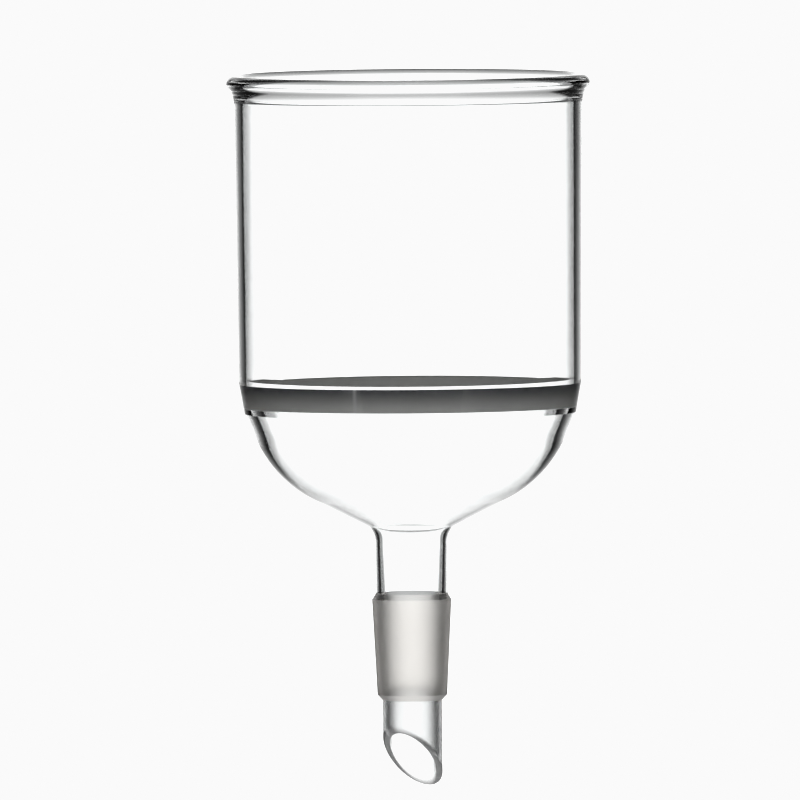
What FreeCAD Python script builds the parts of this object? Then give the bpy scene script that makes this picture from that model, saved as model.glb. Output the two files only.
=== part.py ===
import FreeCAD, Part
import os
from math import atan2, cos, degrees, radians, sin, sqrt, tan

# Sintered-glass filter funnel, in millimetres, with +Z up its axis. The origin is on the axis in the
# plane where the ground cone is widest, which is the plane where a flask's socket grips it. Every piece
# is turned about the axis, and their touching faces are the welds between them.

# Ground cone 24/29: widest diameter, ground length, and a taper of 1 in 10 on the diameter.
CONE_DIAMETER = 24.0
CONE_LENGTH = 29.0
CONE_TAPER = 0.1
CONE_SHOULDER = 1.7
CONE_CHAMFER = 1.7
CONE_BORE_RADIUS = 8.4
CONE_THROAT_LENGTH = 5.0

# Stem above the cone, and the flared collar that joins it to the bowl.
STEM_RADIUS = 11.0
STEM_WALL = 1.4
STEM_FOOT_WALL = 1.8
STEM_TOP = 16.0
COLLAR_RADIUS = 17.0
COLLAR_OUTER_FILLET = 5.0
COLLAR_INNER_FILLET = 6.0

# Bowl: a conical floor and a leaning side, both tangent to a round knuckle. Angles are in degrees, the
# floor's from level and the side's from upright. The wall thins downwards, through a tighter inner knuckle.
BOWL_TOP = 56.4
BOWL_SIDE_WALL = 3.4
BOWL_FLOOR_WALL = 1.6
KNUCKLE_RADIUS = 37.6
KNUCKLE_CENTRE_RADIUS = 12.6
KNUCKLE_CENTRE_HEIGHT = 63.5
INNER_KNUCKLE_RADIUS = 32.5
FLOOR_ANGLE = radians(26.2)
SIDE_ANGLE = radians(22.0)

# Sintered disc, and the ring of wall that is shrunk onto its edge.
DISC_RADIUS = 49.5
DISC_BASE = 58.4
DISC_TOP = 65.6
SEAL_STEP = 0.1
SEAL_SHOULDER = 66.6
SEAL_ROUNDING = 5.0
SEAL_TOP = 68.0

# Cylinder: slightly wider and thicker at the mouth than above the disc.
BODY_BASE_RADIUS = 52.2
BODY_BASE_WALL = 2.6
BODY_MOUTH_RADIUS = 53.0
BODY_MOUTH_WALL = 2.95

# Rim: a round bead that a hollow fillet joins to the cylinder.
RIM_TOP = 158.6
BEAD_RADIUS = 2.6
RIM_FILLET = 6.0

# Drip tip: a narrower tube, cut askew. The bearing of its long side is from +X towards +Y.
TIP_RADIUS = 9.0
TIP_WALL = 2.2
TIP_CUT_HEIGHT = -48.6
TIP_CUT_ANGLE = 46.0
TIP_LONG_SIDE = 56.0
TIP_ROUNDING = 0.7

# What follows from these sizes.
CONE_RADIUS = CONE_DIAMETER / 2
CONE_FOOT_RADIUS = CONE_RADIUS - CONE_LENGTH * CONE_TAPER / 2
CONE_FOOT = -CONE_LENGTH - CONE_CHAMFER
STEM_BORE_RADIUS = STEM_RADIUS - STEM_WALL
STEM_FOOT_BORE_RADIUS = STEM_RADIUS - STEM_FOOT_WALL
TIP_BORE_RADIUS = TIP_RADIUS - TIP_WALL
BODY_BORE_RADIUS = BODY_BASE_RADIUS - BODY_BASE_WALL
MOUTH_BORE_RADIUS = BODY_MOUTH_RADIUS - BODY_MOUTH_WALL
BEAD_CENTRE_RADIUS = MOUTH_BORE_RADIUS + BEAD_RADIUS
BEAD_CENTRE_HEIGHT = RIM_TOP - BEAD_RADIUS
FILLET_CENTRE_RADIUS = BODY_MOUTH_RADIUS + RIM_FILLET
RIM_BASE = BEAD_CENTRE_HEIGHT - sqrt(
    (BEAD_RADIUS + RIM_FILLET) ** 2 - (FILLET_CENTRE_RADIUS - BEAD_CENTRE_RADIUS) ** 2
)


def point(radius, height):
    return FreeCAD.Vector(radius, 0, height)


def arc(centre, radius, first, last):
    """Start, middle and end of an arc. Angles are in degrees, from outwards and towards up."""
    angles = [radians(a) for a in (first, (first + last) / 2, last)]
    return [centre + point(radius * cos(a), radius * sin(a)) for a in angles]


def turned(*stretches):
    """Turns a section about the axis. It is made of arcs and single points, which straight lines join."""
    edges = []
    for stretch, following in zip(stretches, stretches[1:] + stretches[:1]):
        if len(stretch) == 3:
            edges.append(Part.Arc(*stretch).toShape())
        if not stretch[-1].isEqual(following[0], 1e-6):
            edges.append(Part.LineSegment(stretch[-1], following[0]).toShape())
    section = Part.Face(Part.Wire(edges))
    return section.revolve(FreeCAD.Vector(), FreeCAD.Vector(0, 0, 1), 360)


def floor_height(radius, depth):
    """Height of the bowl's floor at a radius, at a depth under its outer face."""
    drop = (KNUCKLE_RADIUS - depth) / cos(FLOOR_ANGLE)
    return KNUCKLE_CENTRE_HEIGHT - drop + (radius - KNUCKLE_CENTRE_RADIUS) * tan(FLOOR_ANGLE)


def side_radius(height, depth):
    """Radius of the bowl's side at a height, at a depth under its outer face."""
    reach = (KNUCKLE_RADIUS - depth) / cos(SIDE_ANGLE)
    return KNUCKLE_CENTRE_RADIUS + reach + (height - KNUCKLE_CENTRE_HEIGHT) * tan(SIDE_ANGLE)


def collar_weld():
    """Outer and inner edge of the weld between the collar and the bowl, square to the wall."""
    outer = point(COLLAR_RADIUS, floor_height(COLLAR_RADIUS, 0))
    inner = outer + point(-BOWL_FLOOR_WALL * sin(FLOOR_ANGLE), BOWL_FLOOR_WALL * cos(FLOOR_ANGLE))
    return [outer], [inner]


def rim_bead():
    bead = point(BEAD_CENTRE_RADIUS, BEAD_CENTRE_HEIGHT)
    fillet = point(FILLET_CENTRE_RADIUS, RIM_BASE)
    meeting = degrees(atan2(bead.z - fillet.z, fillet.x - bead.x))
    return turned(
        [point(MOUTH_BORE_RADIUS, RIM_BASE)],
        arc(fillet, RIM_FILLET, 180, 180 - meeting),
        arc(bead, BEAD_RADIUS, -meeting, 90),
        arc(bead, BEAD_RADIUS, 90, 180),
    )


def upper_cylinder():
    return turned(
        [point(BODY_BORE_RADIUS, SEAL_TOP)],
        [point(BODY_BASE_RADIUS, SEAL_TOP)],
        [point(BODY_MOUTH_RADIUS, RIM_BASE)],
        [point(MOUTH_BORE_RADIUS, RIM_BASE)],
    )


def disc_seal_ring():
    """Leans in below a soft shoulder, down to a small step, and swells inwards against the disc's edge."""
    foot = point(side_radius(BOWL_TOP, 0) + SEAL_STEP, BOWL_TOP)
    lean = atan2(BODY_BASE_RADIUS - foot.x, SEAL_SHOULDER - BOWL_TOP)
    shoulder = point(BODY_BASE_RADIUS - SEAL_ROUNDING, SEAL_SHOULDER + SEAL_ROUNDING * tan(lean / 2))
    swelling = BODY_BORE_RADIUS - DISC_RADIUS
    rise = SEAL_TOP - DISC_TOP
    inner_curve = (swelling**2 + rise**2) / (2 * swelling)
    inner_angle = degrees(atan2(rise, inner_curve - swelling))
    return turned(
        [point(side_radius(BOWL_TOP, BOWL_SIDE_WALL), BOWL_TOP)],
        [foot],
        arc(shoulder, SEAL_ROUNDING, -degrees(lean), 0),
        [point(BODY_BASE_RADIUS, SEAL_TOP)],
        arc(point(BODY_BORE_RADIUS - inner_curve, SEAL_TOP), inner_curve, 0, -inner_angle),
        [point(DISC_RADIUS, DISC_BASE)],
        [point(side_radius(DISC_BASE, BOWL_SIDE_WALL), DISC_BASE)],
    )


def sintered_disc():
    return Part.makeCylinder(DISC_RADIUS, DISC_TOP - DISC_BASE, point(0, DISC_BASE))


def inner_knuckle():
    """Centre of the inner knuckle, which touches the inner faces of both the side and the floor."""
    side_shift = KNUCKLE_RADIUS - BOWL_SIDE_WALL - INNER_KNUCKLE_RADIUS
    floor_shift = KNUCKLE_RADIUS - BOWL_FLOOR_WALL - INNER_KNUCKLE_RADIUS
    spread = cos(SIDE_ANGLE + FLOOR_ANGLE)
    return point(
        KNUCKLE_CENTRE_RADIUS + (side_shift * cos(FLOOR_ANGLE) - floor_shift * sin(SIDE_ANGLE)) / spread,
        KNUCKLE_CENTRE_HEIGHT + (side_shift * sin(FLOOR_ANGLE) - floor_shift * cos(SIDE_ANGLE)) / spread,
    )


def lower_bowl():
    knuckle = point(KNUCKLE_CENTRE_RADIUS, KNUCKLE_CENTRE_HEIGHT)
    floor_end = degrees(FLOOR_ANGLE) - 90
    side_end = -degrees(SIDE_ANGLE)
    outer_weld, inner_weld = collar_weld()
    return turned(
        outer_weld,
        arc(knuckle, KNUCKLE_RADIUS, floor_end, side_end),
        [point(side_radius(BOWL_TOP, 0), BOWL_TOP)],
        [point(side_radius(BOWL_TOP, BOWL_SIDE_WALL), BOWL_TOP)],
        arc(inner_knuckle(), INNER_KNUCKLE_RADIUS, side_end, floor_end),
        inner_weld,
    )


def collar_fillet(stem_radius, fillet_radius, depth):
    """Arc from the stem's upright wall out to the bowl's floor, at a depth under the outer face."""
    centre_radius = stem_radius + fillet_radius
    centre_height = floor_height(centre_radius, depth) - fillet_radius / cos(FLOOR_ANGLE)
    return arc(point(centre_radius, centre_height), fillet_radius, 180, 90 + degrees(FLOOR_ANGLE))


def neck_collar():
    outer_weld, inner_weld = collar_weld()
    inner_fillet = collar_fillet(STEM_BORE_RADIUS, COLLAR_INNER_FILLET, BOWL_FLOOR_WALL)
    return turned(
        [point(STEM_BORE_RADIUS, STEM_TOP)],
        [point(STEM_RADIUS, STEM_TOP)],
        collar_fillet(STEM_RADIUS, COLLAR_OUTER_FILLET, 0),
        outer_weld,
        inner_weld,
        inner_fillet[::-1],
    )


def neck_stem():
    return turned(
        [point(STEM_FOOT_BORE_RADIUS, CONE_SHOULDER)],
        [point(STEM_RADIUS, CONE_SHOULDER)],
        [point(STEM_RADIUS, STEM_TOP)],
        [point(STEM_BORE_RADIUS, STEM_TOP)],
    )


def ground_cone():
    return turned(
        [point(TIP_BORE_RADIUS, CONE_FOOT)],
        [point(TIP_RADIUS, CONE_FOOT)],
        [point(CONE_FOOT_RADIUS, -CONE_LENGTH)],
        [point(CONE_RADIUS, 0)],
        [point(STEM_RADIUS, CONE_SHOULDER)],
        [point(STEM_FOOT_BORE_RADIUS, CONE_SHOULDER)],
        [point(CONE_BORE_RADIUS, CONE_FOOT + CONE_THROAT_LENGTH)],
    )


def drip_tip():
    """Tube cut askew, with the edges of the cut melted round."""
    lowest = TIP_CUT_HEIGHT - 2 * TIP_RADIUS
    tube = turned(
        [point(TIP_BORE_RADIUS, lowest)],
        [point(TIP_RADIUS, lowest)],
        [point(TIP_RADIUS, CONE_FOOT)],
        [point(TIP_BORE_RADIUS, CONE_FOOT)],
    )
    reach = 4 * TIP_RADIUS
    waste = Part.makeCylinder(reach, reach, point(0, -reach))
    waste.rotate(FreeCAD.Vector(), FreeCAD.Vector(0, 1, 0), TIP_CUT_ANGLE)
    waste.rotate(FreeCAD.Vector(), FreeCAD.Vector(0, 0, 1), TIP_LONG_SIDE)
    waste.translate(point(0, TIP_CUT_HEIGHT))
    tip = tube.cut(waste)
    cut_edges = [edge for edge in tip.Edges if edge.Curve.TypeId == "Part::GeomEllipse"]
    return tip.makeFillet(TIP_ROUNDING, cut_edges)


os.makedirs("parts", exist_ok=True)
for piece in (
    rim_bead,
    upper_cylinder,
    disc_seal_ring,
    sintered_disc,
    lower_bowl,
    neck_collar,
    neck_stem,
    ground_cone,
    drip_tip,
):
    piece().exportStep(f"parts/{piece.__name__}.step")
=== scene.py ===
from math import atan2, cos, degrees, hypot, pi, radians, sin, tan

import bmesh
import bpy
from mathutils import Matrix, Vector


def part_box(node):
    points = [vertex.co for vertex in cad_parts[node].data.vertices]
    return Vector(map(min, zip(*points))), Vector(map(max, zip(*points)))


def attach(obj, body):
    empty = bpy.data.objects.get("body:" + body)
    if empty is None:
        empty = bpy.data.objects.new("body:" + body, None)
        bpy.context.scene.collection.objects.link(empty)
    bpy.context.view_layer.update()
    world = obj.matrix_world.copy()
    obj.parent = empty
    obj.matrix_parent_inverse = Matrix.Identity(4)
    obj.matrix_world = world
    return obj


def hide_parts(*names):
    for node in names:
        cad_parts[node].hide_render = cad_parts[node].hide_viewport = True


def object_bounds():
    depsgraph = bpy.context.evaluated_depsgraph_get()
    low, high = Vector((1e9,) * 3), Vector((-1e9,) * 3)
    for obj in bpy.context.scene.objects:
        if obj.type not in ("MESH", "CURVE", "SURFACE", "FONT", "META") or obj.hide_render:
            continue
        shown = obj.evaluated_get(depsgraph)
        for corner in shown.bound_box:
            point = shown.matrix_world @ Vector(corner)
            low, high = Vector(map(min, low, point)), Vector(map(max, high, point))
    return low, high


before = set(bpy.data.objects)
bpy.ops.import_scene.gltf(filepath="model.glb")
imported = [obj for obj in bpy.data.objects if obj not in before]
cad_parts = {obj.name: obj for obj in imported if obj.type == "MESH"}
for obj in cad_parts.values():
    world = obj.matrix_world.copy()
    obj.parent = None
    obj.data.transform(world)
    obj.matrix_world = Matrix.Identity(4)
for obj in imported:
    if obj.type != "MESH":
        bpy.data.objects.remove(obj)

cad_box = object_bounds()

# Upper cylinder: the filter chamber's wall, a stretch of drawn borosilicate tube, slightly wider at the
# mouth. Its two ends are melted into the rim and into the ring that holds the disc.
BODY_BASE_RADIUS = 52.2
BODY_BASE_WALL = 2.6
BODY_MOUTH_RADIUS = 53.0
BODY_MOUTH_WALL = 2.95
BODY_BASE, RIM_BASE = (corner.z * 1000 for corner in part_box("upper_cylinder"))
SECTORS = 16
SECTOR_STEPS = 24
CLOSING_GAP = 0.1
BAND_TOLERANCE = 0.02
MERGE_DISTANCE = 1e-6
WELDED = 1


def start_section(radius, height):
    """Starts a piece's section at a point, in millimetres from the axis and up it."""
    section = bmesh.new()
    section.verts.new((radius / 1000, 0, height / 1000))
    return section


def section_end(section):
    section.verts.ensure_lookup_table()
    return section.verts[-1]


def draw_line(section, radius, height, steps=1):
    """Draws the section on to a point in equal steps."""
    stride = (Vector((radius / 1000, 0, height / 1000)) - section_end(section).co) / steps
    for _ in range(steps):
        bmesh.ops.extrude_vert_indiv(section, verts=[section_end(section)])
        bmesh.ops.translate(section, vec=stride, verts=[section_end(section)])


def draw_arc(section, centre_radius, centre_height, turn, steps):
    """Draws the section round a centre by a turn in degrees, positive from outwards towards up."""
    bmesh.ops.spin(
        section,
        geom=[section_end(section)],
        cent=(centre_radius / 1000, 0, centre_height / 1000),
        axis=(0, -1, 0),
        angle=radians(turn),
        steps=steps,
        use_merge=False,
    )


def close_section(section):
    section.verts.ensure_lookup_table()
    bmesh.ops.contextual_create(section, geom=[section.verts[-1], section.verts[0]])


def turn_section(section):
    """Turns the section round the axis: one sector is spun, and copies of it complete the round."""
    sector = 2 * pi / SECTORS
    bmesh.ops.spin(
        section,
        geom=section.verts[:] + section.edges[:],
        cent=(0, 0, 0),
        axis=(0, 0, 1),
        angle=sector,
        steps=SECTOR_STEPS,
    )
    bmesh.ops.spin(
        section,
        geom=section.verts[:] + section.edges[:] + section.faces[:],
        cent=(0, 0, 0),
        axis=(0, 0, 1),
        angle=2 * pi - sector,
        steps=SECTORS - 1,
        use_duplicate=True,
    )
    bmesh.ops.remove_doubles(section, verts=section.verts, dist=MERGE_DISTANCE)
    bmesh.ops.recalc_face_normals(section, faces=section.faces)
    for face in section.faces:
        face.smooth = True


def paint_band(turned, start, end, finish):
    """Gives a finish to the faces that lie on the line between two points of the section, which are in
    millimetres from the axis and up it, and keeps a sharp edge round them."""
    start, end = Vector(start), Vector(end)
    along = end - start
    band = []
    for face in turned.faces:
        centre = face.calc_center_median()
        place = Vector((hypot(centre.x, centre.y) * 1000, centre.z * 1000)) - start
        share = place.dot(along) / along.length_squared
        if 0 < share < 1 and (place - along * share).length < BAND_TOLERANCE:
            face.material_index = finish
            band.append(face)
    for face in band:
        for edge in face.edges:
            if any(other.material_index != finish for other in edge.link_faces):
                edge.smooth = False


def add_piece(name, mesh, finishes):
    """Puts a finished mesh into the scene in place of the CAD node of that name."""
    data = bpy.data.meshes.new(name)
    mesh.to_mesh(data)
    mesh.free()
    for finish in finishes:
        data.materials.append(finish)
    piece = bpy.data.objects.new(name + "_glass", data)
    bpy.context.scene.collection.objects.link(piece)
    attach(piece, "root")
    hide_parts(name)
    return piece


def linear(colour):
    """Linear RGBA of an sRGB hex colour."""
    levels = [int(colour[place:place + 2], 16) / 255 for place in (1, 3, 5)]
    return [v / 12.92 if v <= 0.04045 else ((v + 0.055) / 1.055) ** 2.4 for v in levels] + [1]


def new_finish(name):
    finish = bpy.data.materials.new(name)
    finish.use_nodes = True
    finish.node_tree.nodes.clear()
    return finish


def add_node(finish, kind, inputs=(), **settings):
    """Adds a node with its settings. An input is a value, or the output socket that it is linked to."""
    node = finish.node_tree.nodes.new(kind)
    for name, value in settings.items():
        setattr(node, name, value)
    for name, value in dict(inputs).items():
        if isinstance(value, bpy.types.NodeSocket):
            finish.node_tree.links.new(value, node.inputs[name])
        else:
            node.inputs[name].default_value = value
    return node


# Drawn borosilicate glass tube: water-clear, with a polished skin. Drawing leaves faint streaks along the
# tube, some 7 mm wide and 60 mm long, that make the reflections waver.
GLASS_INDEX = 1.474
CLEAR = linear("#FCFDFD")
DRAWN_STREAK_WIDTH = 0.007
DRAWN_STREAK_LENGTH = 0.06
DRAWN_STREAK_RELIEF = 0.00005
drawn_glass = new_finish("borosilicate_glass_drawn_tube")
coordinates = add_node(drawn_glass, "ShaderNodeTexCoord")
streak_places = add_node(
    drawn_glass,
    "ShaderNodeMapping",
    {
        "Vector": coordinates.outputs["Object"],
        "Scale": (1 / DRAWN_STREAK_WIDTH, 1 / DRAWN_STREAK_WIDTH, 1 / DRAWN_STREAK_LENGTH),
    },
)
streaks = add_node(
    drawn_glass,
    "ShaderNodeTexNoise",
    {"Vector": streak_places.outputs["Vector"], "Scale": 1, "Detail": 1},
)
streak_relief = add_node(
    drawn_glass,
    "ShaderNodeBump",
    {"Height": streaks.outputs["Fac"], "Strength": 0.3, "Distance": DRAWN_STREAK_RELIEF},
)
skin = add_node(
    drawn_glass,
    "ShaderNodeBsdfPrincipled",
    {
        "Base Color": CLEAR,
        "Roughness": 0.0,
        "IOR": GLASS_INDEX,
        "Transmission Weight": 1,
        "Normal": streak_relief.outputs["Normal"],
    },
)
add_node(drawn_glass, "ShaderNodeOutputMaterial", {"Surface": skin.outputs["BSDF"]})

# Borosilicate glass, melted weld: the glass of two neighbours is one body here, so nothing shows.
melted_weld = new_finish("borosilicate_glass_melted_weld")
nothing = add_node(
    melted_weld,
    "ShaderNodeBsdfPrincipled",
    {"Base Color": CLEAR, "Roughness": 0.0, "IOR": GLASS_INDEX, "Alpha": 0},
)
add_node(melted_weld, "ShaderNodeOutputMaterial", {"Surface": nothing.outputs["BSDF"]})

MOUTH_BORE_RADIUS = BODY_MOUTH_RADIUS - BODY_MOUTH_WALL
BODY_BORE_RADIUS = BODY_BASE_RADIUS - BODY_BASE_WALL
wall = start_section(BODY_BORE_RADIUS, BODY_BASE)
draw_line(wall, BODY_BASE_RADIUS, BODY_BASE)
draw_line(wall, BODY_MOUTH_RADIUS, RIM_BASE, steps=40)
draw_line(wall, MOUTH_BORE_RADIUS, RIM_BASE)
draw_line(wall, BODY_BORE_RADIUS, BODY_BASE + CLOSING_GAP, steps=40)
close_section(wall)
turn_section(wall)
paint_band(wall, (BODY_BORE_RADIUS, BODY_BASE), (BODY_BASE_RADIUS, BODY_BASE), WELDED)
paint_band(wall, (MOUTH_BORE_RADIUS, RIM_BASE), (BODY_MOUTH_RADIUS, RIM_BASE), WELDED)
add_piece("upper_cylinder", wall, [drawn_glass, melted_weld])

# Rim: the tube's mouth, melted and rolled out into a round bead. A hollow fillet on the outside joins it
# to the cylinder.
BEAD_RADIUS = 2.6
RIM_FILLET = 6.0
BEAD_CENTRE_RADIUS = MOUTH_BORE_RADIUS + BEAD_RADIUS
BEAD_CENTRE_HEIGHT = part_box("rim_bead")[1].z * 1000 - BEAD_RADIUS
FILLET_CENTRE_RADIUS = BODY_MOUTH_RADIUS + RIM_FILLET
meeting = degrees(atan2(BEAD_CENTRE_HEIGHT - RIM_BASE, FILLET_CENTRE_RADIUS - BEAD_CENTRE_RADIUS))

# Flame-worked borosilicate glass: fire-polished smooth, and faintly rippled where it was soft, with
# swellings about 9 mm across.
RIPPLE_WIDTH = 0.009
RIPPLE_RELIEF = 0.00008
worked_glass = new_finish("borosilicate_glass_flame_worked")
coordinates = add_node(worked_glass, "ShaderNodeTexCoord")
ripple_places = add_node(
    worked_glass,
    "ShaderNodeMapping",
    {
        "Vector": coordinates.outputs["Object"],
        "Scale": (1 / RIPPLE_WIDTH, 1 / RIPPLE_WIDTH, 1 / RIPPLE_WIDTH),
    },
)
ripples = add_node(
    worked_glass,
    "ShaderNodeTexNoise",
    {"Vector": ripple_places.outputs["Vector"], "Scale": 1, "Detail": 1},
)
ripple_relief = add_node(
    worked_glass,
    "ShaderNodeBump",
    {"Height": ripples.outputs["Fac"], "Strength": 0.3, "Distance": RIPPLE_RELIEF},
)
skin = add_node(
    worked_glass,
    "ShaderNodeBsdfPrincipled",
    {
        "Base Color": CLEAR,
        "Roughness": 0.0,
        "IOR": GLASS_INDEX,
        "Transmission Weight": 1,
        "Normal": ripple_relief.outputs["Normal"],
    },
)
add_node(worked_glass, "ShaderNodeOutputMaterial", {"Surface": skin.outputs["BSDF"]})

rim = start_section(MOUTH_BORE_RADIUS, RIM_BASE)
draw_line(rim, BODY_MOUTH_RADIUS, RIM_BASE)
draw_arc(rim, FILLET_CENTRE_RADIUS, RIM_BASE, -meeting, steps=12)
draw_arc(rim, BEAD_CENTRE_RADIUS, BEAD_CENTRE_HEIGHT, 180 + meeting, steps=32)
draw_line(rim, MOUTH_BORE_RADIUS, RIM_BASE + CLOSING_GAP, steps=6)
close_section(rim)
turn_section(rim)
paint_band(rim, (MOUTH_BORE_RADIUS, RIM_BASE), (BODY_MOUTH_RADIUS, RIM_BASE), WELDED)
add_piece("rim_bead", rim, [worked_glass, melted_weld])

# Sintered disc: glass grains baked together into a stiff white filter plate. Its edge was melted into the
# wall, so that a thin skin of it is denser and glassier.
DISC_RADIUS = 49.5
DISC_CLEARANCE = 0.01
FUSED = 1
SHARP_ANGLE = radians(40)
DISC_BASE, DISC_TOP = (corner.z * 1000 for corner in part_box("sintered_disc"))

# Sintered borosilicate: white and matt, like fine snow, from grains that are 0.1 mm across and are drawn
# 0.35 mm across so that they show. It is a little denser in cloudy patches about 5 mm wide.
GRAIN_WIDTH = 0.00035
GRAIN_RELIEF = 0.00015
CLOUD_WIDTH = 0.005
sintered_glass = new_finish("borosilicate_glass_sintered")
coordinates = add_node(sintered_glass, "ShaderNodeTexCoord")
grains = add_node(
    sintered_glass,
    "ShaderNodeTexVoronoi",
    {"Vector": coordinates.outputs["Object"], "Scale": 1 / GRAIN_WIDTH},
)
clouds = add_node(
    sintered_glass,
    "ShaderNodeTexNoise",
    {"Vector": coordinates.outputs["Object"], "Scale": 1 / CLOUD_WIDTH, "Detail": 3},
)
density = add_node(
    sintered_glass,
    "ShaderNodeMapRange",
    {"Value": clouds.outputs["Fac"], "From Min": 0.3, "From Max": 0.7},
)
whiteness = add_node(
    sintered_glass,
    "ShaderNodeMix",
    {0: density.outputs["Result"], 6: linear("#E6E6E3"), 7: linear("#F5F5F2")},
    data_type="RGBA",
)
grain_relief = add_node(
    sintered_glass,
    "ShaderNodeBump",
    {"Height": grains.outputs["Distance"], "Strength": 0.6, "Distance": GRAIN_RELIEF},
)
frit = add_node(
    sintered_glass,
    "ShaderNodeBsdfPrincipled",
    {
        "Base Color": whiteness.outputs[2],
        "Roughness": 0.8,
        "IOR": GLASS_INDEX,
        "Normal": grain_relief.outputs["Normal"],
    },
)
add_node(sintered_glass, "ShaderNodeOutputMaterial", {"Surface": frit.outputs["BSDF"]})

# Fused sintered borosilicate: the disc's edge, glassier, with painted shade: grey towards the top and pale
# towards the bottom, as light falls from below. A painted highlight, a pale streak 2 mm wide, stands at one
# bearing.
# Painted highlight: the bearing and half width of a pale streak on the disc's edge.
HIGHLIGHT_BEARING = radians(-109.5)
HIGHLIGHT_HALF_WIDTH = 0.001
disc_edge_painted_light = new_finish("borosilicate_glass_sintered_fused")
coordinates = add_node(disc_edge_painted_light, "ShaderNodeTexCoord")
heights = add_node(disc_edge_painted_light, "ShaderNodeSeparateXYZ", {"Vector": coordinates.outputs["Object"]})
# Painted shade: the edge's colour runs from pale at the disc's base to grey at its top.
painted_shade_height = add_node(
    disc_edge_painted_light,
    "ShaderNodeMapRange",
    {"Value": heights.outputs["Z"], "From Min": DISC_BASE / 1000, "From Max": DISC_TOP / 1000},
    interpolation_type="SMOOTHSTEP",
)
painted_shade_graded = add_node(
    disc_edge_painted_light,
    "ShaderNodeMix",
    {0: painted_shade_height.outputs["Result"], 6: linear("#F0F0EE"), 7: linear("#78787C")},
    data_type="RGBA",
)
flattened = add_node(
    disc_edge_painted_light,
    "ShaderNodeMapping",
    {"Vector": coordinates.outputs["Object"], "Scale": (1, 1, 0)},
)
# Painted highlight: near one spot on the edge, the colour is mixed up to 0.4 towards white.
highlight_spot = [DISC_RADIUS / 1000 * cos(HIGHLIGHT_BEARING), DISC_RADIUS / 1000 * sin(HIGHLIGHT_BEARING), 0]
highlight_distance = add_node(
    disc_edge_painted_light,
    "ShaderNodeVectorMath",
    {0: flattened.outputs["Vector"], 1: highlight_spot},
    operation="DISTANCE",
)
painted_highlight = add_node(
    disc_edge_painted_light,
    "ShaderNodeMapRange",
    {"Value": highlight_distance.outputs["Value"], "From Max": HIGHLIGHT_HALF_WIDTH, "To Min": 0.4, "To Max": 0},
    interpolation_type="SMOOTHSTEP",
)
highlighted = add_node(
    disc_edge_painted_light,
    "ShaderNodeMix",
    {0: painted_highlight.outputs["Result"], 6: painted_shade_graded.outputs[2], 7: linear("#FFFFFF")},
    data_type="RGBA",
)
fused_skin = add_node(
    disc_edge_painted_light,
    "ShaderNodeBsdfPrincipled",
    {"Base Color": highlighted.outputs[2], "Roughness": 0.4, "IOR": GLASS_INDEX},
)
add_node(disc_edge_painted_light, "ShaderNodeOutputMaterial", {"Surface": fused_skin.outputs["BSDF"]})

disc_edge_base = (DISC_RADIUS - DISC_CLEARANCE, DISC_BASE)
disc_edge_top = (DISC_RADIUS - DISC_CLEARANCE, DISC_TOP)
disc = start_section(0, DISC_BASE)
draw_line(disc, *disc_edge_base, steps=24)
draw_line(disc, *disc_edge_top, steps=8)
draw_line(disc, 0, DISC_TOP, steps=24)
turn_section(disc)
for edge in disc.edges:
    if edge.calc_face_angle(0) > SHARP_ANGLE:
        edge.smooth = False
paint_band(disc, disc_edge_base, disc_edge_top, FUSED)
add_piece("sintered_disc", disc, [sintered_glass, disc_edge_painted_light])

# Disc seal ring: the wall, softened and drawn in onto the disc's edge until the two became one. Outside
# it narrows to a small step above the bowl.
BOWL_SIDE_WALL = 3.4
KNUCKLE_RADIUS = 37.6
KNUCKLE_CENTRE_RADIUS = 12.6
KNUCKLE_CENTRE_HEIGHT = 63.5
FLOOR_ANGLE = 26.2
SIDE_ANGLE = 22.0
SEAL_STEP = 0.1
SEAL_SHOULDER = 66.6
SEAL_ROUNDING = 5.0
BOWL_TOP, SEAL_TOP = (corner.z * 1000 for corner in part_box("disc_seal_ring"))


def side_radius(height, depth):
    """Radius of the bowl's side at a height, at a depth under its outer face."""
    reach = (KNUCKLE_RADIUS - depth) / cos(radians(SIDE_ANGLE))
    return KNUCKLE_CENTRE_RADIUS + reach + (height - KNUCKLE_CENTRE_HEIGHT) * tan(radians(SIDE_ANGLE))


foot = (side_radius(BOWL_TOP, 0) + SEAL_STEP, BOWL_TOP)
lean = atan2(BODY_BASE_RADIUS - foot[0], SEAL_SHOULDER - BOWL_TOP)
shoulder = (BODY_BASE_RADIUS - SEAL_ROUNDING, SEAL_SHOULDER + SEAL_ROUNDING * tan(lean / 2))
swelling = BODY_BORE_RADIUS - DISC_RADIUS
rise = SEAL_TOP - DISC_TOP
inner_curve = (swelling**2 + rise**2) / (2 * swelling)
bowl_weld = (side_radius(BOWL_TOP, 0), BOWL_TOP)
bowl_weld_inside = (side_radius(BOWL_TOP, BOWL_SIDE_WALL), BOWL_TOP)
ring = start_section(*bowl_weld_inside)
draw_line(ring, *foot)
draw_line(ring, shoulder[0] + SEAL_ROUNDING * cos(lean), shoulder[1] - SEAL_ROUNDING * sin(lean), steps=10)
draw_arc(ring, *shoulder, degrees(lean), steps=6)
draw_line(ring, BODY_BASE_RADIUS, SEAL_TOP)
draw_line(ring, BODY_BORE_RADIUS, SEAL_TOP)
inner_turn = degrees(atan2(rise, inner_curve - swelling))
draw_arc(ring, BODY_BORE_RADIUS - inner_curve, SEAL_TOP, -inner_turn, steps=6)
draw_line(ring, DISC_RADIUS, DISC_BASE, steps=6)
draw_line(ring, side_radius(DISC_BASE, BOWL_SIDE_WALL), DISC_BASE)
close_section(ring)
turn_section(ring)
paint_band(ring, (BODY_BORE_RADIUS, SEAL_TOP), (BODY_BASE_RADIUS, SEAL_TOP), WELDED)
paint_band(ring, (DISC_RADIUS, DISC_BASE), (DISC_RADIUS, DISC_TOP), WELDED)
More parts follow.
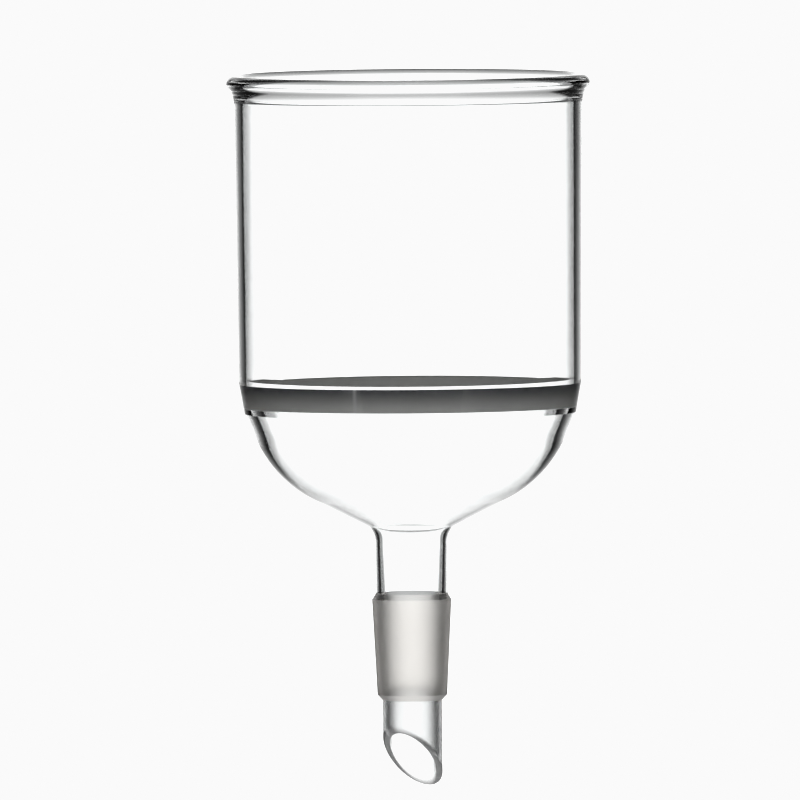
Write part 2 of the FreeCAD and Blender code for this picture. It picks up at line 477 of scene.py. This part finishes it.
paint_band(ring, bowl_weld_inside, bowl_weld, WELDED)
for edge in ring.edges:
    if edge.calc_face_angle(0) > SHARP_ANGLE:
        edge.smooth = False
add_piece("disc_seal_ring", ring, [worked_glass, melted_weld])

# Lower bowl: glass that was blown round and drawn in under the disc, with a leaning side, a round knuckle
# and a floor that slopes to the neck.


def floor_height(radius, depth):
    """Height of the bowl's floor at a radius, at a depth under its outer face."""
    drop = (KNUCKLE_RADIUS - depth) / cos(radians(FLOOR_ANGLE))
    return KNUCKLE_CENTRE_HEIGHT - drop + (radius - KNUCKLE_CENTRE_RADIUS) * tan(radians(FLOOR_ANGLE))


BOWL_FLOOR_WALL = 1.6
INNER_KNUCKLE_RADIUS = 32.5
COLLAR_RADIUS = 17.0
floor_weld = (COLLAR_RADIUS, floor_height(COLLAR_RADIUS, 0))
floor_weld_inside = (
    COLLAR_RADIUS - BOWL_FLOOR_WALL * sin(radians(FLOOR_ANGLE)),
    floor_weld[1] + BOWL_FLOOR_WALL * cos(radians(FLOOR_ANGLE)),
)
knuckle_start = (
    KNUCKLE_CENTRE_RADIUS + KNUCKLE_RADIUS * sin(radians(FLOOR_ANGLE)),
    KNUCKLE_CENTRE_HEIGHT - KNUCKLE_RADIUS * cos(radians(FLOOR_ANGLE)),
)
knuckle_turn = 90 - FLOOR_ANGLE - SIDE_ANGLE
side_shift = KNUCKLE_RADIUS - BOWL_SIDE_WALL - INNER_KNUCKLE_RADIUS
floor_shift = KNUCKLE_RADIUS - BOWL_FLOOR_WALL - INNER_KNUCKLE_RADIUS
across_shift = side_shift * cos(radians(FLOOR_ANGLE)) - floor_shift * sin(radians(SIDE_ANGLE))
up_shift = side_shift * sin(radians(FLOOR_ANGLE)) - floor_shift * cos(radians(SIDE_ANGLE))
inner_centre = (
    KNUCKLE_CENTRE_RADIUS + across_shift / cos(radians(SIDE_ANGLE + FLOOR_ANGLE)),
    KNUCKLE_CENTRE_HEIGHT + up_shift / cos(radians(SIDE_ANGLE + FLOOR_ANGLE)),
)
knuckle_end_inside = (
    inner_centre[0] + INNER_KNUCKLE_RADIUS * cos(radians(SIDE_ANGLE)),
    inner_centre[1] - INNER_KNUCKLE_RADIUS * sin(radians(SIDE_ANGLE)),
)
bowl = start_section(*floor_weld)
draw_line(bowl, *knuckle_start, steps=12)
draw_arc(bowl, KNUCKLE_CENTRE_RADIUS, KNUCKLE_CENTRE_HEIGHT, knuckle_turn, steps=24)
draw_line(bowl, *bowl_weld, steps=6)
draw_line(bowl, *bowl_weld_inside)
draw_line(bowl, *knuckle_end_inside, steps=6)
draw_arc(bowl, *inner_centre, -knuckle_turn, steps=24)
draw_line(bowl, *floor_weld_inside, steps=12)
close_section(bowl)
turn_section(bowl)
paint_band(bowl, floor_weld, floor_weld_inside, WELDED)
paint_band(bowl, bowl_weld_inside, bowl_weld, WELDED)
add_piece("lower_bowl", bowl, [worked_glass, melted_weld])

# Neck collar: where the stem was welded on. The glass was flared in the flame, out of the stem's wall and
# into the bowl's floor, until the two ran into each other.
STEM_RADIUS = 11.0
STEM_WALL = 1.4
STEM_FOOT_WALL = 1.8
STEM_BORE_RADIUS = STEM_RADIUS - STEM_WALL
STEM_FOOT_BORE_RADIUS = STEM_RADIUS - STEM_FOOT_WALL
COLLAR_OUTER_FILLET = 5.0
COLLAR_INNER_FILLET = 6.0
STEM_FOOT, STEM_TOP = (corner.z * 1000 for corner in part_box("neck_stem"))
outer_centre_radius = STEM_RADIUS + COLLAR_OUTER_FILLET
outer_centre_height = (
    floor_height(outer_centre_radius, 0) - COLLAR_OUTER_FILLET / cos(radians(FLOOR_ANGLE))
)
inner_centre_radius = STEM_BORE_RADIUS + COLLAR_INNER_FILLET
inner_centre_height = (
    floor_height(inner_centre_radius, BOWL_FLOOR_WALL) - COLLAR_INNER_FILLET / cos(radians(FLOOR_ANGLE))
)
inner_fillet_start = (
    inner_centre_radius - COLLAR_INNER_FILLET * sin(radians(FLOOR_ANGLE)),
    inner_centre_height + COLLAR_INNER_FILLET * cos(radians(FLOOR_ANGLE)),
)
collar = start_section(STEM_BORE_RADIUS, STEM_TOP)
draw_line(collar, STEM_RADIUS, STEM_TOP)
draw_line(collar, STEM_RADIUS, outer_centre_height, steps=2)
draw_arc(collar, outer_centre_radius, outer_centre_height, FLOOR_ANGLE - 90, steps=12)
draw_line(collar, *floor_weld, steps=4)
draw_line(collar, *floor_weld_inside)
draw_line(collar, *inner_fillet_start, steps=4)
draw_arc(collar, inner_centre_radius, inner_centre_height, 90 - FLOOR_ANGLE, steps=12)
close_section(collar)
turn_section(collar)
paint_band(collar, floor_weld, floor_weld_inside, WELDED)
paint_band(collar, (STEM_BORE_RADIUS, STEM_TOP), (STEM_RADIUS, STEM_TOP), WELDED)
add_piece("neck_collar", collar, [worked_glass, melted_weld])

# Neck stem: a short stretch of drawn borosilicate tube between the bowl and the cone. It is melted onto
# both, and its wall thickens towards the cone.
stem = start_section(STEM_FOOT_BORE_RADIUS, STEM_FOOT)
draw_line(stem, STEM_RADIUS, STEM_FOOT)
draw_line(stem, STEM_RADIUS, STEM_TOP, steps=12)
draw_line(stem, STEM_BORE_RADIUS, STEM_TOP)
draw_line(stem, STEM_FOOT_BORE_RADIUS, STEM_FOOT + CLOSING_GAP, steps=12)
close_section(stem)
turn_section(stem)
paint_band(stem, (STEM_FOOT_BORE_RADIUS, STEM_FOOT), (STEM_RADIUS, STEM_FOOT), WELDED)
paint_band(stem, (STEM_BORE_RADIUS, STEM_TOP), (STEM_RADIUS, STEM_TOP), WELDED)
add_piece("neck_stem", stem, [drawn_glass, melted_weld])

# Ground cone: the 24/29 joint, a thick-walled taper that was ground to gauge on its outside. The
# shoulder above it and the bore keep their melted skin, and the chamfer below it is fine-ground.
CONE_RADIUS = 12.0
CONE_LENGTH = 29.0
CONE_TAPER = 0.1
CONE_BORE_RADIUS = 8.4
CONE_THROAT_LENGTH = 5.0
THROAT_GAP_ACROSS = 0.02
THROAT_GAP_UP = 0.05
TIP_RADIUS = 9.0
TIP_BORE_RADIUS = 6.8
GROUND = 2
FINE_GROUND = 3
CONE_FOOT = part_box("ground_cone")[0].z * 1000
CONE_FOOT_RADIUS = CONE_RADIUS - CONE_LENGTH * CONE_TAPER / 2

# Ground borosilicate glass: grey-white and see-through only as a blur. The grinding tool turned round
# the cone, and its 0.05 mm scratches are drawn 0.3 mm apart so that they show.
SCRATCH_LENGTH = 0.006
SCRATCH_SPACING = 0.0003
SCRATCH_RELIEF = 0.00004
ground_glass = new_finish("borosilicate_glass_ground")
coordinates = add_node(ground_glass, "ShaderNodeTexCoord")
scratch_places = add_node(
    ground_glass,
    "ShaderNodeMapping",
    {
        "Vector": coordinates.outputs["Object"],
        "Scale": (1 / SCRATCH_LENGTH, 1 / SCRATCH_LENGTH, 1 / SCRATCH_SPACING),
    },
)
scratches = add_node(
    ground_glass,
    "ShaderNodeTexNoise",
    {"Vector": scratch_places.outputs["Vector"], "Scale": 1, "Detail": 2},
)
scratch_relief = add_node(
    ground_glass,
    "ShaderNodeBump",
    {"Height": scratches.outputs["Fac"], "Strength": 0.3, "Distance": SCRATCH_RELIEF},
)
skin = add_node(
    ground_glass,
    "ShaderNodeBsdfPrincipled",
    {
        "Base Color": linear("#EFECE8"),
        "Roughness": 0.55,
        "IOR": GLASS_INDEX,
        "Transmission Weight": 1,
        "Normal": scratch_relief.outputs["Normal"],
    },
)
add_node(ground_glass, "ShaderNodeOutputMaterial", {"Surface": skin.outputs["BSDF"]})

# Fine-ground borosilicate glass: the chamfer was only touched with finer grit, so it is an even grey.
chamfer_glass = new_finish("borosilicate_glass_fine_ground")
skin = add_node(
    chamfer_glass,
    "ShaderNodeBsdfPrincipled",
    {"Base Color": linear("#E4E2DF"), "Roughness": 0.4, "IOR": GLASS_INDEX, "Transmission Weight": 0.75},
)
add_node(chamfer_glass, "ShaderNodeOutputMaterial", {"Surface": skin.outputs["BSDF"]})

throat_end = (TIP_BORE_RADIUS + THROAT_GAP_ACROSS, CONE_FOOT + THROAT_GAP_UP)
cone = start_section(TIP_BORE_RADIUS, CONE_FOOT)
draw_line(cone, TIP_RADIUS, CONE_FOOT)
draw_line(cone, CONE_FOOT_RADIUS, -CONE_LENGTH, steps=2)
draw_line(cone, CONE_RADIUS, 0, steps=24)
draw_line(cone, STEM_RADIUS, STEM_FOOT, steps=3)
draw_line(cone, STEM_FOOT_BORE_RADIUS, STEM_FOOT)
draw_line(cone, CONE_BORE_RADIUS, CONE_FOOT + CONE_THROAT_LENGTH, steps=20)
draw_line(cone, *throat_end, steps=6)
close_section(cone)
turn_section(cone)
paint_band(cone, (TIP_BORE_RADIUS, CONE_FOOT), (TIP_RADIUS, CONE_FOOT), WELDED)
paint_band(cone, (STEM_FOOT_BORE_RADIUS, STEM_FOOT), (STEM_RADIUS, STEM_FOOT), WELDED)
paint_band(cone, (CONE_FOOT_RADIUS, -CONE_LENGTH), (CONE_RADIUS, 0), GROUND)
paint_band(cone, (TIP_RADIUS, CONE_FOOT), (CONE_FOOT_RADIUS, -CONE_LENGTH), FINE_GROUND)
add_piece("ground_cone", cone, [worked_glass, melted_weld, ground_glass, chamfer_glass])

# Drip tip: a narrower tube that was welded under the cone and cut askew, so that drops gather at its low
# side. The flame rounded the cut's edges.
TIP_CUT_HEIGHT = -48.15
TIP_CUT_ANGLE = 46.0
TIP_LONG_SIDE = 56.0
TIP_ROUNDING = 1.1

# Borosilicate glass with flame bloom: vapour from the hot glass settled on it as a faint haze, so that it
# blurs what is behind it and its edges turn soft and grey.
bloomed_glass = new_finish("borosilicate_glass_flame_bloom")
skin = add_node(
    bloomed_glass,
    "ShaderNodeBsdfPrincipled",
    {"Base Color": CLEAR, "Roughness": 0.26, "IOR": GLASS_INDEX, "Transmission Weight": 0.91},
)
add_node(bloomed_glass, "ShaderNodeOutputMaterial", {"Surface": skin.outputs["BSDF"]})

rounding_height = TIP_CUT_HEIGHT + TIP_ROUNDING
tip = start_section(TIP_BORE_RADIUS, CONE_FOOT)
draw_line(tip, TIP_RADIUS, CONE_FOOT)
draw_line(tip, TIP_RADIUS, rounding_height, steps=24)
draw_arc(tip, TIP_RADIUS - TIP_ROUNDING, rounding_height, -90, steps=8)
draw_arc(tip, TIP_BORE_RADIUS + TIP_ROUNDING, rounding_height, -90, steps=8)
draw_line(tip, TIP_BORE_RADIUS, CONE_FOOT - CLOSING_GAP, steps=24)
close_section(tip)
turn_section(tip)
bearing = Vector((cos(radians(TIP_LONG_SIDE)), sin(radians(TIP_LONG_SIDE)), 0))
for vert in tip.verts:
    askew = min(1, (CONE_FOOT - vert.co.z * 1000) / (CONE_FOOT - rounding_height))
    vert.co.z -= askew * tan(radians(TIP_CUT_ANGLE)) * vert.co.dot(bearing)
paint_band(tip, (TIP_BORE_RADIUS, CONE_FOOT), (TIP_RADIUS, CONE_FOOT), WELDED)
add_piece("drip_tip", tip, [bloomed_glass, melted_weld])

# Camera: a long lens far off, raised just enough to see across the disc and into the rim. The object
# stands a little askew in its view.
low, high = cad_box
DISTANCE = 8.0
FRAME_WIDTH = 0.2418
ELEVATION = 2.6
ROLL = -0.42
AIM_SHIFT = (-0.0031, 0, 0.0093)
aim = (low + high) / 2 + Vector(AIM_SHIFT)
lens = bpy.data.cameras.new("camera")
lens.lens = lens.sensor_width * DISTANCE / FRAME_WIDTH
lens.clip_start = 0.1
lens.clip_end = 50
camera = bpy.data.objects.new("camera", lens)
bpy.context.scene.collection.objects.link(camera)
bpy.context.scene.camera = camera
camera.matrix_world = (
    Matrix.Translation(aim)
    @ Matrix.Rotation(radians(90 - ELEVATION), 4, "X")
    @ Matrix.Rotation(radians(ROLL), 4, "Z")
    @ Matrix.Translation((0, 0, DISTANCE))
)
bpy.context.view_layer.update()

# Light: a lit white sweep behind the object, on the camera's stand. It fades outwards and up and down,
# and the studio beside it is dark, which draws the glass's edges.
SWEEP_RADIUS = 5.0
SWEEP_HALF_WIDTH = 3.0
SWEEP_LOW = -50.0
SWEEP_HIGH = 60.0
SWEEP_STRENGTH = 1.9
SWEEP_DIMMEST = 0.08
SWEEP_FADE = ((12.0, 1.0), (14.0, 0.6), (16.0, 0.34), (19.0, 0.2), (23.0, 0.12), (27.0, 0.05))
SWEEP_DIMMING = ((9.0, 1.0), (13.0, 0.62), (19.0, 0.36), (30.0, 0.2), (50.0, 0.12))
sweep_finish = new_finish("white_paper_lit")


def add_setting(name, mesh, finish, seen=True):
    """Puts a light or the floor round the object, as part of the setting."""
    data = bpy.data.meshes.new(name)
    mesh.to_mesh(data)
    mesh.free()
    data.materials.append(finish)
    setting = bpy.data.objects.new(name, data)
    bpy.context.scene.collection.objects.link(setting)
    setting.visible_camera = seen
    return setting


def add_glow(finish, strength):
    """Makes a finish glow white at a strength, which is a value or an output socket."""
    glow = add_node(finish, "ShaderNodeEmission", {"Color": linear("#FFFFFF"), "Strength": strength})
    add_node(finish, "ShaderNodeOutputMaterial", {"Surface": glow.outputs["Emission"]})


def add_fade(finish, axis, reach, stops, last):
    """Adds a level that falls off from a panel's middle along one of its axes. Each stop is a distance,
    as a share of the reach, and the level there."""
    coordinates = add_node(finish, "ShaderNodeTexCoord")
    spots = add_node(finish, "ShaderNodeSeparateXYZ", {"Vector": coordinates.outputs["Object"]})
    offset = add_node(finish, "ShaderNodeMath", {0: spots.outputs[axis]}, operation="ABSOLUTE")
    share = add_node(finish, "ShaderNodeMath", {0: offset.outputs["Value"], 1: reach}, operation="DIVIDE")
    fade = add_node(finish, "ShaderNodeValToRGB", {"Fac": share.outputs["Value"]})
    for place, level in stops:
        stop = fade.color_ramp.elements.new(place)
        stop.color = (level, level, level, 1)
    fade.color_ramp.elements[0].color = (1, 1, 1, 1)
    fade.color_ramp.elements[-1].color = (last, last, last, 1)
    return fade.outputs["Color"]


across_stops = [(tan(radians(b)) * SWEEP_RADIUS / SWEEP_HALF_WIDTH, level) for b, level in SWEEP_FADE]
upright_stops = [(sin(radians(b)), level) for b, level in SWEEP_DIMMING]
level = add_node(
    sweep_finish,
    "ShaderNodeMath",
    {
        0: add_fade(sweep_finish, "X", SWEEP_HALF_WIDTH, across_stops, 0),
        1: add_fade(sweep_finish, "Y", SWEEP_RADIUS, upright_stops, SWEEP_DIMMEST),
    },
    operation="MULTIPLY",
)
strength = add_node(
    sweep_finish,
    "ShaderNodeMath",
    {0: level.outputs["Value"], 1: SWEEP_STRENGTH},
    operation="MULTIPLY",
)
add_glow(sweep_finish, strength.outputs["Value"])
sweep = bmesh.new()
sweep.verts.new((-SWEEP_HALF_WIDTH, 0, -DISTANCE - SWEEP_RADIUS))
bmesh.ops.extrude_vert_indiv(sweep, verts=sweep.verts[:])
sweep.verts.ensure_lookup_table()
bmesh.ops.translate(sweep, vec=(2 * SWEEP_HALF_WIDTH, 0, 0), verts=[sweep.verts[-1]])
bmesh.ops.rotate(
    sweep,
    cent=(0, 0, -DISTANCE),
    matrix=Matrix.Rotation(radians(SWEEP_LOW), 3, "X"),
    verts=sweep.verts,
)
bmesh.ops.spin(
    sweep,
    geom=sweep.verts[:] + sweep.edges[:],
    cent=(0, 0, -DISTANCE),
    axis=(1, 0, 0),
    angle=radians(SWEEP_HIGH - SWEEP_LOW),
    steps=48,
)
add_setting("sweep", sweep, sweep_finish).parent = camera

# Front fill: a wide reflector in front of the object and below it, brightest in its middle.
FILL_DISTANCE = 3.0
FILL_DROP = 55.0
FILL_HALF_WIDTH = 3.5
FILL_HALF_HEIGHT = 1.5
FILL_FADE = ((0.2, 0.9), (0.5, 0.45), (0.8, 0.1))
FILL_STRENGTH = 2.6
fill_finish = new_finish("white_reflector")
fill_level = add_fade(fill_finish, "X", FILL_HALF_WIDTH, FILL_FADE, 0)
strength = add_node(
    fill_finish,
    "ShaderNodeMath",
    {0: fill_level, 1: FILL_STRENGTH},
    operation="MULTIPLY",
)
add_glow(fill_finish, strength.outputs["Value"])
fill = bmesh.new()
bmesh.ops.create_grid(fill, x_segments=1, y_segments=1, size=1)
bmesh.ops.scale(fill, vec=(FILL_HALF_WIDTH, FILL_HALF_HEIGHT, 1), verts=fill.verts)
bmesh.ops.translate(fill, vec=(0, 0, FILL_DISTANCE), verts=fill.verts)
bmesh.ops.rotate(fill, cent=(0, 0, 0), matrix=Matrix.Rotation(radians(FILL_DROP), 3, "X"), verts=fill.verts)
bmesh.ops.translate(fill, vec=(0, 0, -DISTANCE), verts=fill.verts)
add_setting("reflector", fill, fill_finish, seen=False).parent = camera

# Top light: a soft box straight above, which reaches the disc through the open mouth.
TOP_DISTANCE = 1.2
TOP_HALF_SIDE = 0.5
TOP_STRENGTH = 0.8
top_finish = new_finish("white_diffuser")
add_glow(top_finish, TOP_STRENGTH)
top_box = bmesh.new()
bmesh.ops.create_grid(top_box, x_segments=1, y_segments=1, size=TOP_HALF_SIDE)
bmesh.ops.translate(top_box, vec=(0, 0, high.z + TOP_DISTANCE), verts=top_box.verts)
bmesh.ops.reverse_faces(top_box, faces=top_box.faces)
add_setting("top_box", top_box, top_finish, seen=False)

# Studio: almost dark beside and behind the lights, so that the glass has something dark to show.
STUDIO_STRENGTH = 0.01
studio = bpy.data.worlds.new("studio")
studio.use_nodes = True
studio.node_tree.nodes["Background"].inputs["Color"].default_value = linear("#FFFFFF")
studio.node_tree.nodes["Background"].inputs["Strength"].default_value = STUDIO_STRENGTH
bpy.context.scene.world = studio

# Floor: a round plate well below the tip, of white acrylic that is lit from below until it looks as white
# as the sweep.
FLOOR_DROP = 0.085
FLOOR_RADIUS = 0.15
FLOOR_STRENGTH = 1.1
floor_finish = new_finish("white_acrylic_lit_from_below")
add_glow(floor_finish, FLOOR_STRENGTH)
plate = bmesh.new()
bmesh.ops.create_circle(plate, cap_ends=True, segments=96, radius=FLOOR_RADIUS)
bmesh.ops.translate(plate, vec=(0, 0, low.z - FLOOR_DROP), verts=plate.verts)
add_setting("floor", plate, floor_finish)

# Exposure: the lit sweep is past white, and white is held just under full. Light may pass many walls of
# glass before it is dropped.
WHITE_LEVEL = 0.956
GLASS_BOUNCES = 32
DIFFUSE_BOUNCES = 4
scene = bpy.context.scene
scene.view_settings.view_transform = "Standard"
scene.view_settings.use_curve_mapping = True
curves = scene.view_settings.curve_mapping
curves.extend = "HORIZONTAL"
curves.use_clip = False
curves.curves[3].points[1].location = (1.0, WHITE_LEVEL)
curves.update()
scene.cycles.max_bounces = GLASS_BOUNCES
scene.cycles.transmission_bounces = GLASS_BOUNCES
scene.cycles.transparent_max_bounces = GLASS_BOUNCES
scene.cycles.diffuse_bounces = DIFFUSE_BOUNCES
